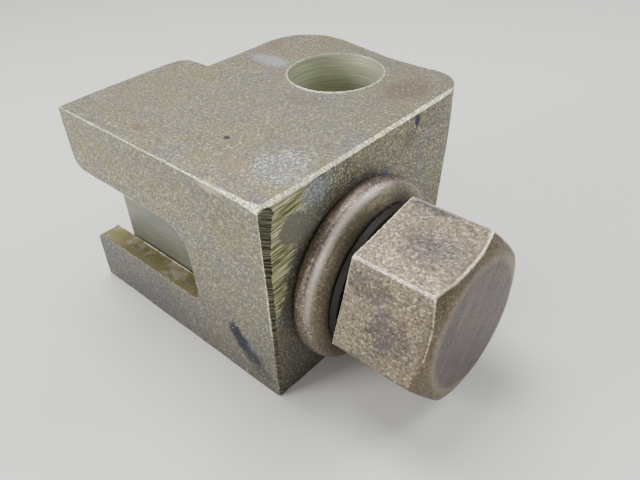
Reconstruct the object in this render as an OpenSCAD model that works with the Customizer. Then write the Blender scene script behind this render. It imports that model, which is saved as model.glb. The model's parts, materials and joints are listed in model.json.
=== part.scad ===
// Cast bronze rod clamp: a casting with an upright bore, a draw block that slides
// across the bore's front, and one hexagon bolt with two washers that pulls the block.
// Millimetres. The origin is on the bore's axis, in the plane of the base. +X runs
// towards the bolt head, +Y away from the slotted front face, +Z up. The outline and
// the bolt's place are measured from the casting's front left corner.

/* [Casting] */
// Length of the casting, along the bolt
body_l = 37.2; // [36.4:0.1:40]
// Height of the casting
body_h = 28; // [26:0.1:32]
// Depth of the left end, from the front face
jaw_d = 20.5; // [18:0.1:22]
// Length of the left end, before the boss begins
jaw_l = 5.5; // [4:0.1:7]
// Overall depth, from the front face to the back of the boss
body_d = 39.8; // [39.4:0.1:42]
// Radius of the boss's left back corner
boss_r = 9; // [7:0.1:10]
// Radius of the boss's right back corner, at the top
heel_r = 5; // [4:0.1:6]
// Angle at which that corner leans in towards the base
heel_lean = 6.2; // [2:0.1:7]
// Width of the bevels filed on the front and right edges
bevel = 0.7; // [0.3:0.1:1.2]

/* [Upright bore] */
// Radius of the bore that takes the rod
bore_r = 6.55; // [6:0.05:7]
// Distance from the left end to the bore's axis
bore_x = 21.45; // [20.5:0.05:22.5]
// Distance from the front face to the bore's axis
bore_y = 29.7; // [29.5:0.05:31]
// Size of the bevel at the bore's upper mouth
bore_bevel = 0.4; // [0.2:0.1:0.8]

/* [Front slot] */
// Thickness of the front wall
front_wall = 2.9; // [2.5:0.1:3.2]
// Height of the lip below the slot
lip_h = 8.2; // [7:0.1:9]
// Height of the slot
slot_h = 10.8; // [9:0.1:11.5]
// Length of the slot, from the open left end
slot_l = 23.5; // [20:0.1:25]
// Radius of the slot's upper inner corner
slot_top_r = 4.2; // [2:0.1:5]
// Radius of the slot's lower inner corner
slot_low_r = 1; // [0.5:0.1:2]
// Rounding of the slot's two tips at the left end
tip_r = 1.8; // [1:0.1:3]

/* [Draw block] */
// Length of the block, along the bolt
block_l = 16; // [14:0.1:16.5]
// Distance from the casting's left end to the block, at rest
block_x = 4.6; // [4.5:0.1:5]
// Gap between the block and each wall of its pocket
block_gap = 0.2; // [0.15:0.05:0.3]
// Height of the pocket
pocket_h = 18.6; // [17:0.1:18.6]
// Length of the pocket, from the left end
pocket_l = 28.2; // [28:0.1:29]
// Gap between the block's hollow and the bore, at rest
hollow_gap = 0.3; // [0.2:0.05:0.5]
// Bevel on the block's edges
block_bevel = 0.5; // [0.3:0.1:1]

/* [Bolt] */
// Nominal diameter of the bolt
bolt_d = 12; // [11.5:0.1:12]
// Length of the bolt, under the head
bolt_l = 35; // [32:0.5:37]
// Height of the bolt's axis above the base
bolt_z = 12.3; // [12.3:0.1:13]
// Distance from the front face to the bolt's axis
bolt_y = 14.4; // [14.2:0.1:14.6]
// Width of the head across its flats
head_af = 19; // [18:0.1:19.2]
// Height of the head
head_h = 11.7; // [10:0.1:12.5]
// Turn of the head about its axis
head_turn = 40.1; // [0:0.1:60]
// Diameter of the flat circle at the end of the head
end_d = 16; // [14:0.1:17]
// Diameter of the clearance hole in the right wall
clearance_d = 13.4; // [13:0.1:13.8]

/* [Washers] */
// Outside diameter of the plain washer
washer_od = 24; // [22:0.1:24]
// Thickness of the plain washer
washer_t = 4.4; // [4:0.1:4.6]
// Rounding of the plain washer's rim
rim_r = 1.7; // [1.4:0.1:1.8]
// Slope of the plain washer's domed face, from the bolt's axis
dome_slope = 50; // [45:1:60]
// Outside diameter of the spring washer
spring_od = 19.6; // [18.5:0.1:20]
// Thickness of the spring washer
spring_t = 1; // [0.8:0.1:1.4]
// Width of the split in the spring washer
spring_split = 1.6; // [1:0.1:2.5]

/* [Hidden] */
$fn = 96;
over = 1;                                   // how far a cutter runs past a face
run = 0.05;                                 // running clearance round the bolt's thread
slot_top = lip_h + slot_h;
pocket_front = front_wall;
pocket_w = 2 * (bolt_y - front_wall);       // the pocket is centred on the bolt
pocket_z = bolt_z - pocket_h / 2;
block_w = pocket_w - 2 * block_gap;
block_h = pocket_h - 2 * block_gap;
washer_x = body_l;                          // each washer lies on the piece before it
spring_x = washer_x + washer_t;
head_x = spring_x + spring_t;
tip_x = head_x - bolt_l;
tip_bevel = 1.2;
head_corner_r = head_af / 2 / cos(30);
hole_r = bolt_d / 2 + 0.5;                  // the hole through both washers
boss_x = jaw_l + boss_r;                    // centre of the boss's left back corner
boss_y = body_d - boss_r;
back_y = body_d - 1.4;                      // the back dips behind the bore
heel_c = body_l - heel_r;                   // centre of the boss's right back corner
rim_c = washer_od / 2 - rim_r;              // centre of the washer's rounded rim
dome_r = rim_c + rim_r * cos(dome_slope);   // where the rim's rounding becomes the dome
dome_h = rim_r * (1 + sin(dome_slope));
bronze = [0.55, 0.53, 0.42];
block_bronze = [0.56, 0.56, 0.44];
copper_bronze = [0.60, 0.45, 0.34];

// Moves a shape measured from the front left corner to the bore's axis.
module from_corner() {
    translate([-bore_x, -bore_y, 0]) children();
}

// Stands a shape on the bolt's axis at a distance from the left end, pointing along +X.
module on_bolt(x) {
    translate([x, bolt_y, bolt_z]) rotate([0, 90, 0]) children();
}

// What is left of a square corner outside a rounding of radius r; the corner is at +X +Y.
module corner_waste(r) {
    translate([-r, -r]) difference() {
        square(r + over);
        circle(r);
    }
}

// A cutter for a 45 degree bevel on an edge that runs along +Z.
module bevel_bar(size, length) {
    side = size * sqrt(2);
    rotate([0, 0, 45]) translate([-side / 2, -side / 2, -over]) cube([side, side, length + 2 * over]);
}

// Plan outline: the square front part, with its rounded left back corner, and the boss.
module outline() {
    difference() {
        square([body_l, jaw_d]);
        translate([0, jaw_d]) rotate([0, 0, 90]) corner_waste(2.5);
    }
    polygon([
        [jaw_l, jaw_d - over], [body_l, jaw_d - over],
        [body_l, back_y - heel_r], [heel_c, back_y],
        [body_l - 11.7, back_y - 0.4], [boss_x, body_d], [jaw_l, boss_y]
    ]);
    translate([heel_c, back_y - heel_r]) circle(heel_r);
    translate([boss_x, boss_y]) circle(boss_r);
}

// The C-shaped slot, cut through the front wall from the left end.
module front_slot() {
    translate([0, front_wall + over, 0]) rotate([90, 0, 0]) linear_extrude(front_wall + 2 * over) {
        difference() {
            translate([-over, lip_h]) square([slot_l + over, slot_h]);
            translate([slot_l, slot_top]) corner_waste(slot_top_r);
            translate([slot_l, lip_h]) rotate([0, 0, -90]) corner_waste(slot_low_r);
        }
        translate([0, lip_h]) rotate([0, 0, 90]) corner_waste(tip_r);
        translate([0, slot_top]) rotate([0, 0, 180]) corner_waste(tip_r);
    }
}

// The pocket that guides the block, open at the left end.
module pocket() {
    translate([-over, pocket_front, pocket_z]) cube([pocket_l + over, pocket_w, pocket_h]);
}

// The upright bore, right through, with a bevel at its upper mouth.
module rod_bore() {
    translate([bore_x, bore_y, 0]) {
        translate([0, 0, -over]) cylinder(r = bore_r, h = body_h + 2 * over);
        translate([0, 0, body_h - bore_bevel])
            cylinder(r1 = bore_r, r2 = bore_r + bore_bevel + over, h = bore_bevel + over);
    }
}

// Bevels filed on the top front edge, the top right edge and the upright corner between.
module filed_edges() {
    translate([0, 0, body_h]) rotate([0, 90, 0]) bevel_bar(bevel * 0.6, body_l);
    translate([body_l, 0, body_h]) rotate([-90, 0, 0]) bevel_bar(bevel, body_d);
    translate([body_l, 0, 0]) bevel_bar(bevel, body_h);
}

// The right back corner, shaved by a plane that leans in towards the base.
module heel_shave() {
    translate([heel_c, back_y - heel_r, body_h]) rotate([0, 0, 45]) rotate([0, heel_lean, 0])
        translate([heel_r, -body_d / 2, -2 * body_h]) cube([body_d, body_d, 3 * body_h]);
}

module body() {
    color(bronze) from_corner() difference() {
        linear_extrude(body_h) outline();
        heel_shave();
        pocket();
        front_slot();
        rod_bore();
        on_bolt(pocket_l - over) cylinder(d = clearance_d, h = body_l - pocket_l + 2 * over);
        filed_edges();
    }
}

// End view of the block: a rectangle with its four corners bevelled, centred on the bolt.
module block_profile() {
    w = block_w / 2;
    h = block_h / 2;
    c = block_bevel;
    polygon([
        [w, h - c], [w - c, h], [c - w, h], [-w, h - c],
        [-w, c - h], [c - w, -h], [w - c, -h], [w, c - h]
    ]);
}

// The draw block: bored through for the bolt and hollowed at the back to fit the rod.
module clamp_block() {
    color(block_bronze) from_corner() difference() {
        on_bolt(block_x) rotate([0, 0, 90]) linear_extrude(block_l) block_profile();
        on_bolt(block_x - over) cylinder(d = bolt_d + 2 * run, h = block_l + 2 * over);
        translate([bore_x, bore_y, 0]) cylinder(r = bore_r + hollow_gap, h = body_h);
    }
}

// The bolt in one piece: a tall head with a crowned end, and the shank.
module clamp_bolt() {
    color(copper_bronze) from_corner() {
        on_bolt(head_x) intersection() {
            rotate([0, 0, head_turn]) cylinder(r = head_corner_r, h = head_h, $fn = 6);
            rotate_extrude() polygon([
                [0, 0], [head_corner_r - 0.2, 0], [head_corner_r + 0.1, 0.2], [head_corner_r + 0.1, head_h - 1.4],
                [head_af / 2, head_h - 0.5], [end_d / 2, head_h], [0, head_h]
            ]);
        }
        on_bolt(tip_x) {
            cylinder(r1 = bolt_d / 2 - tip_bevel, r2 = bolt_d / 2, h = tip_bevel);
            translate([0, 0, tip_bevel]) cylinder(d = bolt_d, h = bolt_l - tip_bevel + 0.1);
        }
    }
}

// The plain washer: a round rim, and a face that domes up towards the head.
module plain_washer() {
    color(copper_bronze) from_corner() on_bolt(washer_x) rotate_extrude() {
        translate([rim_c, rim_r]) circle(rim_r);
        polygon([
            [hole_r, 0], [rim_c, 0], [rim_c, rim_r], [dome_r, dome_h],
            [dome_r - (washer_t - dome_h) * tan(dome_slope), washer_t], [hole_r, washer_t]
        ]);
    }
}

// The spring washer under the head, split on the side away from the front.
module spring_washer() {
    color(copper_bronze) from_corner() on_bolt(spring_x) difference() {
        rotate_extrude() translate([hole_r - 0.2, 0]) square([spring_od / 2 - hole_r + 0.2, spring_t]);
        rotate([0, 0, 150]) translate([0, -spring_split / 2, -over])
            cube([spring_od, spring_split, spring_t + 2 * over]);
    }
}

body();
clamp_block();
clamp_bolt();
plain_washer();
spring_washer();
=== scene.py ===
# %% [markdown]
# # A cast bronze rod clamp
# The clamp is one casting with an upright bore, a block that slides in a pocket behind the
# casting's thin front wall, and a hexagon bolt that draws the block along. This script takes
# the plain model, rebuilds each piece with the edges, waviness and tool marks of the real one,
# and gives each a weathered metal finish. All lengths are in metres, so MM turns millimetres
# into the script's own unit.

# %% Load the frame
import json
import math

import bpy
from mathutils import Euler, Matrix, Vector, noise


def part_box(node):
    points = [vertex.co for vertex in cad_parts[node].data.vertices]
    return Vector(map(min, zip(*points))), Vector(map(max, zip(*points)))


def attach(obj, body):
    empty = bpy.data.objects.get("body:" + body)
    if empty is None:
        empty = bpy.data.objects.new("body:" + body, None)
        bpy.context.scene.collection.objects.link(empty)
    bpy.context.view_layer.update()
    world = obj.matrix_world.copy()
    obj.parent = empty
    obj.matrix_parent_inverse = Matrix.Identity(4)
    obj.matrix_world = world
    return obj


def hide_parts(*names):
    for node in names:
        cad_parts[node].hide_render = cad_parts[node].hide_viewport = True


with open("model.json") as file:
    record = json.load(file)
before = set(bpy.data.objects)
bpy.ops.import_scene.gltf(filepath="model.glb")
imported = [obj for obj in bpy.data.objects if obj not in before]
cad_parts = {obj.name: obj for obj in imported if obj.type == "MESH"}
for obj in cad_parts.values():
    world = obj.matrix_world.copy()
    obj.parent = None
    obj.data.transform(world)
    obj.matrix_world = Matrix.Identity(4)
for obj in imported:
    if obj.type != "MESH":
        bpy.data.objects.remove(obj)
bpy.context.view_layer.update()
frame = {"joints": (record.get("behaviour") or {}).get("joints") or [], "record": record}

MM = 0.001

# %% Driving places and sizes
# The casting's corner is its front left foot, from which the plan is measured.
corner, far_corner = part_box("body")
block_low, block_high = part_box("clamp_block")
bolt_low, bolt_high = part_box("clamp_bolt")
washer_low, washer_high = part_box("plain_washer")
spring_low, spring_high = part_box("spring_washer")
joints = {joint["name"]: joint for joint in frame["joints"]}
bolt_axis = Vector(joints["bolt_turn"]["pos_m"])
bore = next(m for m in frame["record"]["mounts"] if m["name"] == "rod_bore")
bore_axis = Vector(bore["pos_m"])
bore_r = bore["dims"]["r_mm"] * MM
length = far_corner.x - corner.x
depth = far_corner.y - corner.y
height = far_corner.z - corner.z
print("casting", [round(v / MM, 1) for v in (length, depth, height)], "mm")

# %% [markdown]
# ## Camera, light and floor
# The clamp is small, so a normal lens stands only about ten centimetres away and looks down
# at it steeply. That short distance is what makes the near corner loom. The light is a large
# soft box overhead, a weaker one in front on the left, one behind, and a faint one on the
# right. The room is brighter above than at the sides, because metal shows mostly what it
# reflects.

# %% Camera
camera_data = bpy.data.cameras.new("camera")
camera_data.lens = 35.02
camera_data.sensor_width = 36
camera_data.clip_start = 1 * MM
camera = bpy.data.objects.new("camera", camera_data)
camera.location = Vector((53.6, -61.1, 61.7)) * MM
camera.rotation_euler = Euler([math.radians(a) for a in (52.36, 2.21, 41.83)])
bpy.context.scene.collection.objects.link(camera)
bpy.context.scene.camera = camera


# %% Soft boxes
def soft_box(name, place, size, power, tint):
    """A square area light at a place in millimetres, turned towards the clamp."""
    light = bpy.data.lights.new(name, "AREA")
    light.size = size * MM
    light.energy = power
    light.color = tint
    box = bpy.data.objects.new(name, light)
    box.location = Vector(place) * MM
    towards = Vector((0, -8 * MM, 14 * MM)) - box.location
    box.rotation_euler = towards.to_track_quat("-Z", "Y").to_euler()
    bpy.context.scene.collection.objects.link(box)
    return box


soft_box("overhead", (-70, 10, 260), 150, 0.92, (1.0, 0.99, 0.96))
soft_box("front", (-120, -240, 110), 120, 0.74, (1.0, 1.0, 1.0))
soft_box("back", (130, 170, 190), 120, 0.45, (0.96, 0.98, 1.0))
soft_box("right", (230, -190, 110), 90, 0.22, (1.0, 1.0, 1.0))


# %% Room and floor
def srgb(code):
    """A six-figure sRGB hex colour as the linear colour that the shaders use."""
    parts = [int(code[i:i + 2], 16) / 255 for i in (0, 2, 4)]
    return tuple(c / 12.92 if c <= 0.04045 else ((c + 0.055) / 1.055) ** 2.4 for c in parts) + (1.0,)


def add(tree, kind, inputs=(), **settings):
    """Adds one node. inputs gives each socket a value, or a node or an output to link to it."""
    new = tree.nodes.new(kind)
    for name, value in settings.items():
        setattr(new, name, value)
    for socket, value in dict(inputs).items():
        if isinstance(value, bpy.types.Node):
            value = value.outputs[0]
        if isinstance(value, bpy.types.NodeSocket):
            tree.links.new(value, new.inputs[socket])
        else:
            new.inputs[socket].default_value = value
    return new


world = bpy.data.worlds.new("room")
bpy.context.scene.world = world
world.use_nodes = True
direction = add(world.node_tree, "ShaderNodeTexCoord")
sky = add(world.node_tree, "ShaderNodeSeparateXYZ", {0: direction.outputs["Generated"]})
ceiling = add(world.node_tree, "ShaderNodeMapRange", {
    "Value": sky.outputs["Z"], "From Min": -0.1, "From Max": 0.9, "To Min": 0.20, "To Max": 0.55})
world.node_tree.links.new(ceiling.outputs[0], world.node_tree.nodes["Background"].inputs["Strength"])
world.node_tree.nodes["Background"].inputs["Color"].default_value = srgb("dfe2e6")
bpy.ops.mesh.primitive_plane_add(size=2)
floor = bpy.context.active_object
floor.name = "floor"
floor_paint = bpy.data.materials.new("matt_floor_paint")
floor_paint.use_nodes = True
floor_shader = floor_paint.node_tree.nodes["Principled BSDF"]
floor_shader.inputs["Base Color"].default_value = srgb("d6d5d1")
floor_shader.inputs["Roughness"].default_value = 0.75
floor.data.materials.append(floor_paint)

# %% [markdown]
# ## Tools for the bench
# Every piece starts as a primitive, is shaped in edit mode and is finished with modifiers that
# are applied at once. These few helpers keep each step to a line: they clear the selection,
# because an operator works on all that is selected, pick edges by their place, and run one
# modifier to its end.


# %% Bench helpers
def clear():
    """Leaves nothing selected, so that the next operator touches only its own piece."""
    if bpy.context.mode != "OBJECT":
        bpy.ops.object.mode_set(mode="OBJECT")
    bpy.ops.object.select_all(action="DESELECT")


def take(piece):
    """Makes a piece the only one selected, and the active one."""
    clear()
    piece.select_set(True)
    bpy.context.view_layer.objects.active = piece


def settle(piece):
    """Moves a piece's place, turn and size into its mesh."""
    take(piece)
    bpy.ops.object.transform_apply(location=True, rotation=True, scale=True)


def apply_modifier(piece, kind, **settings):
    """Adds one modifier and applies it."""
    take(piece)
    modifier = piece.modifiers.new(kind.lower(), kind)
    for name, value in settings.items():
        setattr(modifier, name, value)
    bpy.ops.object.modifier_apply(modifier=modifier.name)


def add_box(name, low, high):
    """A box between two corners."""
    clear()
    bpy.ops.mesh.primitive_cube_add(size=1, location=(Vector(low) + Vector(high)) / 2)
    box = bpy.context.active_object
    box.name = name
    box.scale = Vector(high) - Vector(low)
    settle(box)
    return box


def add_rod(name, start, axis, radius, reach, sides=96):
    """A cylinder from a point along an axis."""
    clear()
    turn = Vector(axis).to_track_quat("Z", "Y").to_euler()
    middle = Vector(start) + Vector(axis).normalized() * reach / 2
    bpy.ops.mesh.primitive_cylinder_add(
        vertices=sides, radius=radius, depth=reach, location=middle, rotation=turn)
    rod = bpy.context.active_object
    rod.name = name
    settle(rod)
    return rod


def combine(piece, tool, operation):
    """Joins a tool to a piece or cuts the piece with it, and uses the tool up."""
    apply_modifier(piece, "BOOLEAN", object=tool, operation=operation, solver="EXACT")
    bpy.data.objects.remove(tool)


def bevel_edges(piece, wanted, size, segments):
    """Bevels the edges whose two ends both pass the test."""
    take(piece)
    bpy.ops.object.mode_set(mode="EDIT")
    bpy.ops.mesh.select_mode(type="EDGE")
    bpy.ops.mesh.select_all(action="DESELECT")
    bpy.ops.object.mode_set(mode="OBJECT")
    points = piece.data.vertices
    for edge in piece.data.edges:
        edge.select = all(wanted(points[i].co) for i in edge.vertices)
    count = sum(edge.select for edge in piece.data.edges)
    bpy.ops.object.mode_set(mode="EDIT")
    bpy.ops.mesh.bevel(offset=size, segments=segments, affect="EDGES", clamp_overlap=True)
    bpy.ops.object.mode_set(mode="OBJECT")
    return count


def near(value, target, slack=0.02 * MM):
    """True where a coordinate is the target, to within a hair."""
    return abs(value - target) < slack


# %% [markdown]
# ## The casting
# The real one was sand cast, machined in its bore and pocket, and dressed with a file along
# three edges. Its outside is slightly wavy and its edges are soft, but the file left crisp
# facets. The shape is built from two boxes and cut with the same cutters as a machinist would
# use. A Remesh in sharp mode then gives it an even skin of small faces, which a Displace can
# push about without losing the edges.

# %% Plan of the casting
# Depth and length of the left end, and the two rounded back corners of the boss.
jaw_depth = 20.5 * MM
jaw_length = 5.5 * MM
boss_corner_r = 9 * MM
heel_r = 5 * MM
heel_lean = math.radians(6.2)      # the right back corner leans in towards the base
boss_back = depth - 1.4 * MM      # the back of the boss dips behind the bore
boss_dip = boss_back - 0.4 * MM
dip_x = length - 11.7 * MM
corner_rise = 1.5 * MM            # the corner's rounding takes this much off again


def at(x, y, z):
    """A point measured from the casting's front left foot."""
    return corner + Vector((x, y, z))


casting = add_box("casting_shell", at(0, 0, 0), at(length, jaw_depth, height))
bevel_edges(casting, lambda p: near(p.x, corner.x) and near(p.y, corner.y + jaw_depth), 2.5 * MM, 6)
boss = add_box("boss", at(jaw_length, jaw_depth / 2, 0), at(length, boss_back, height))
take(boss)
bpy.ops.object.mode_set(mode="EDIT")
bpy.ops.mesh.select_all(action="SELECT")
bpy.ops.mesh.bisect(plane_co=at(dip_x, 0, 0), plane_no=(1, 0, 0))
bpy.ops.object.mode_set(mode="OBJECT")
for point in boss.data.vertices:
    if near(point.co.y, corner.y + boss_back):
        if near(point.co.x, corner.x + jaw_length):
            point.co.y = corner.y + depth + corner_rise
        if near(point.co.x, corner.x + dip_x):
            point.co.y = corner.y + boss_dip
jaw_end_x = corner.x + jaw_length
bevel_edges(boss, lambda p: near(p.x, jaw_end_x) and p.y > corner.y + jaw_depth, boss_corner_r, 12)
bevel_edges(boss, lambda p: near(p.x, corner.x + length) and p.y > corner.y + jaw_depth, heel_r, 8)
bevel_edges(boss, lambda p: near(p.x, corner.x + dip_x) and p.y > corner.y + jaw_depth, 3 * MM, 4)
heel_centre = at(length - heel_r, boss_back - heel_r, height)
diagonal = Vector((1, 1, 0)).normalized()
take(boss)
bpy.ops.object.mode_set(mode="EDIT")
bpy.ops.mesh.select_all(action="SELECT")
bpy.ops.mesh.bisect(
    plane_co=heel_centre + diagonal * heel_r,
    plane_no=diagonal * math.cos(heel_lean) - Vector((0, 0, math.sin(heel_lean))),
    use_fill=True, clear_outer=True)
bpy.ops.object.mode_set(mode="OBJECT")
combine(casting, boss, "UNION")
print("plan built with", len(casting.data.vertices), "points")

# %% Pocket, bore and bolt hole
# The pocket leaves the block the same running gap all round, and ends clear of its travel.
gap = 0.2 * MM
front_wall = 2.9 * MM
pocket_end = 28.2 * MM
past = 5 * MM                     # how far a cutter runs past a face
hole_r = 6.7 * MM
pocket = add_box(
    "pocket", (corner.x - past, block_low.y - gap, block_low.z - gap),
    (corner.x + pocket_end, block_high.y + gap, block_high.z + gap))
combine(casting, pocket, "DIFFERENCE")
bore_cutter = add_rod("bore", bore_axis - Vector((0, 0, past)), (0, 0, 1), bore_r, height + 2 * past)
combine(casting, bore_cutter, "DIFFERENCE")
bolt_mouth = Vector((corner.x + pocket_end - 1 * MM, bolt_axis.y, bolt_axis.z))
combine(casting, add_rod("bolt_hole", bolt_mouth, (1, 0, 0), hole_r, length), "DIFFERENCE")
bevel_edges(
    casting, lambda p: near(p.z, far_corner.z) and near((p.xy - bore_axis.xy).length, bore_r), 0.4 * MM, 3)

# %% Front slot
# A C-shaped slot through the front wall, open to the left, with a wide curve above its end.
slot_low = 8.2 * MM
slot_high = 19 * MM
slot_end = 23.5 * MM
slot = add_box("slot", at(-past, -past, slot_low), at(slot_end, front_wall + 1 * MM, slot_high))
bevel_edges(
    slot, lambda p: near(p.x, corner.x + slot_end) and near(p.z, corner.z + slot_high), 4.2 * MM, 10)
bevel_edges(slot, lambda p: near(p.x, corner.x + slot_end) and near(p.z, corner.z + slot_low), 1 * MM, 4)
combine(casting, slot, "DIFFERENCE")
for level in (slot_low, slot_high):
    bevel_edges(casting, lambda p: near(p.x, corner.x) and near(p.z, corner.z + level)
                and p.y < corner.y + front_wall + 1 * MM, 1.8 * MM, 6)
print("casting cut, now", len(casting.data.vertices), "points")

# %% [markdown]
# ## Filed edges
# Somebody took the burrs off with a file, leaning on it hardest at the near corner. A file
# leaves a flat facet whose width wanders, widest where it dug in. So the tool here is a bar
# that lies along the edge at 45 degrees, its cutting face divided along its length and moved
# in and out. It is widest at its start and thins out at a rate of its own.


# %% File an edge
def file_edge(piece, start, end, faces, wide, thin, fade, ripple, seed):
    """Cuts a facet along an edge between two faces, wide at its start and thin further on."""
    along = Vector(end) - Vector(start)
    outward = (Vector(faces[0]) + Vector(faces[1])).normalized()
    across = outward.cross(along).normalized()
    clear()
    bpy.ops.mesh.primitive_grid_add(x_subdivisions=90, y_subdivisions=2, size=1)
    bar = bpy.context.active_object
    bpy.ops.object.mode_set(mode="EDIT")
    bpy.ops.mesh.extrude_region_move(TRANSFORM_OT_translate={"value": (0, 0, 1)})
    bpy.ops.object.mode_set(mode="OBJECT")
    for point in bar.data.vertices:
        share = 1.1 * point.co.x + 0.5
        run = max(share, 0) * along.length
        bite = thin + (wide - thin) * math.exp(-run / fade)
        bite += ripple * noise.noise(Vector((run / (1.6 * MM), seed, 0)))
        reach = 3 * MM if point.co.z > 0.5 else -max(bite, 0.03 * MM) / math.sqrt(2)
        point.co = Vector(start) + along * share + across * point.co.y * 6 * MM + outward * reach
    take(bar)
    bpy.ops.object.mode_set(mode="EDIT")
    bpy.ops.mesh.select_all(action="SELECT")
    bpy.ops.mesh.normals_make_consistent(inside=False)
    bpy.ops.object.mode_set(mode="OBJECT")
    combine(piece, bar, "DIFFERENCE")


right, front, up = (1, 0, 0), (0, -1, 0), (0, 0, 1)
near_corner = at(length, 0, height)
file_edge(casting, near_corner, at(0, 0, height), (front, up), 0.75 * MM, 0.17 * MM, 4 * MM, 0.12 * MM, 1)
back_corner = at(length, boss_back, height)
file_edge(casting, near_corner, back_corner, (right, up), 0.5 * MM, 0.40 * MM, 9 * MM, 0.07 * MM, 2)
nearly_front = (0, -0.12, 0)      # a short arrow, so the facet lies almost flat on the right face
foot_corner = at(length, 0, 0)
file_edge(casting, near_corner, foot_corner, (nearly_front, right), 0.36 * MM, 0.13 * MM, 4 * MM, 0.03 * MM, 3)
print("edges filed, now", len(casting.data.vertices), "points")

# %% [markdown]
# ## The cast skin
# Remesh in sharp mode covers the shape with faces of one size and keeps its edges. The skin
# is then moved inwards only, in broad waves from the sand mould and in a finer grit, so it
# never grows past its true size. The machined faces, which are the bore, the pocket and the
# bolt's hole, take no part: a vertex group keeps them flat. Last, Decimate merges faces where
# the skin is nearly flat.

# %% Remesh, wave and thin the skin
apply_modifier(casting, "REMESH", mode="SHARP", octree_depth=8, scale=0.92, use_remove_disconnected=False)


def machined(p):
    """True on the faces that a cutter made: the pocket, the bore and the bolt's hole."""
    in_pocket = (p.x < corner.x + pocket_end + 0.1 * MM
                 and block_low.y - 0.25 * MM < p.y < block_high.y + 0.25 * MM
                 and block_low.z - 0.25 * MM < p.z < block_high.z + 0.25 * MM)
    in_bore = (p.xy - bore_axis.xy).length < bore_r + 0.2 * MM
    in_hole = (p.yz - bolt_axis.yz).length < hole_r + 0.2 * MM and p.x > corner.x + pocket_end
    return in_pocket or in_bore or in_hole


skin = casting.vertex_groups.new(name="cast_skin")
skin.add([v.index for v in casting.data.vertices if not machined(v.co)], 1, "REPLACE")
for name, scale, push in (("mould_waves", 6 * MM, 0.16 * MM), ("sand_grit", 0.8 * MM, 0.035 * MM)):
    texture = bpy.data.textures.new(name, "CLOUDS")
    texture.noise_scale = scale
    apply_modifier(casting, "DISPLACE", texture=texture, texture_coords="LOCAL", vertex_group="cast_skin",
                   strength=push, mid_level=1)
triangles = sum(len(face.vertices) - 2 for face in casting.data.polygons)
apply_modifier(casting, "DECIMATE", ratio=min(1, 190000 / triangles))
take(casting)
bpy.ops.object.shade_smooth_by_angle(angle=math.radians(35))
print("casting skin thinned from", triangles, "to", len(casting.data.polygons), "triangles")
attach(casting, "casting")
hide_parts("body")

# %% [markdown]
# ## Thread and turned shapes
# The bolt, its hole and both washers are round, so two tools make them. One spins a profile
# about an axis, as a lathe turns it. The other starts from a cylinder whose side is divided
# into fine rings, and moves each point in or out by the depth of a thread at its place along
# the helix.

# %% Turn a profile
pitch = 1.75 * MM                 # the M12 coarse thread
thread_depth = 0.8 * MM


def turned(name, profile, start, steps=128):
    """Spins (radius, distance) points about the bolt's line. Radius 0 closes the shape."""
    clear()
    bpy.ops.mesh.primitive_circle_add(vertices=len(profile), radius=1)
    shape = bpy.context.active_object
    shape.name = name
    for point, (radius, distance) in zip(shape.data.vertices, profile):
        point.co = start + Vector((distance, 0, radius))
    for edge in shape.data.edges:
        edge.select = all(profile[i][0] == 0 for i in edge.vertices)
    closed = not any(edge.select for edge in shape.data.edges)
    for point in shape.data.vertices:
        point.select = False
    bpy.ops.object.mode_set(mode="EDIT")
    if not closed:
        bpy.ops.mesh.select_mode(type="EDGE")
        bpy.ops.mesh.delete(type="EDGE")
    bpy.ops.mesh.select_all(action="SELECT")
    bpy.ops.mesh.spin(steps=steps, angle=2 * math.pi, center=start, axis=(1, 0, 0))
    bpy.ops.mesh.select_all(action="SELECT")
    bpy.ops.mesh.remove_doubles(threshold=0.001 * MM)
    bpy.ops.mesh.normals_make_consistent(inside=False)
    bpy.ops.object.mode_set(mode="OBJECT")
    settle(shape)
    return shape


# %% Cut a thread
def threaded(name, start, crest_r, reach, taper):
    """A right-handed thread along +X. Its depth fades out over the taper at the far end, and the tip is
    bevelled.
    """
    rod = add_rod(name, start, (1, 0, 0), crest_r, reach, 64)
    take(rod)
    bpy.ops.object.mode_set(mode="EDIT")
    bpy.ops.mesh.select_mode(type="EDGE")
    bpy.ops.mesh.select_all(action="DESELECT")
    bpy.ops.object.mode_set(mode="OBJECT")
    points = rod.data.vertices
    for edge in rod.data.edges:
        ends = [points[i].co.x for i in edge.vertices]
        edge.select = abs(ends[0] - ends[1]) > reach / 2
    bpy.ops.object.mode_set(mode="EDIT")
    bpy.ops.mesh.subdivide(number_cuts=int(reach / (pitch / 9)))
    bpy.ops.object.mode_set(mode="OBJECT")
    for point in rod.data.vertices:
        out = point.co - start
        phase = (out.x / pitch - math.atan2(out.z, out.y) / (2 * math.pi)) % 1
        groove = min(max(1.15 - abs(phase - 0.5) * 3.2, 0), 1)
        fade = min(1, (reach - out.x) / taper)
        sharpen = max(0, 1.2 * MM - out.x)          # the bevel at the tip
        radius = min(crest_r - thread_depth * groove * fade, crest_r - sharpen)
        spoke = Vector((0, out.y, out.z)).normalized()
        point.co = Vector((point.co.x, start.y, start.z)) + spoke * radius
    return rod


print("a thread's groove is", round(thread_depth / MM, 2), "mm deep")

# %% [markdown]
# ## Worn edges
# The bolt and the washers have been knocked about for years, so none of their edges is sharp.
# A bevel would make every edge the same. Here a voxel Remesh turns the shape to an even grid,
# a few rounds of Smooth wear its edges round, and two Displace textures add the hammer's
# dents. As on the casting, the surface only moves inwards.


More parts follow.
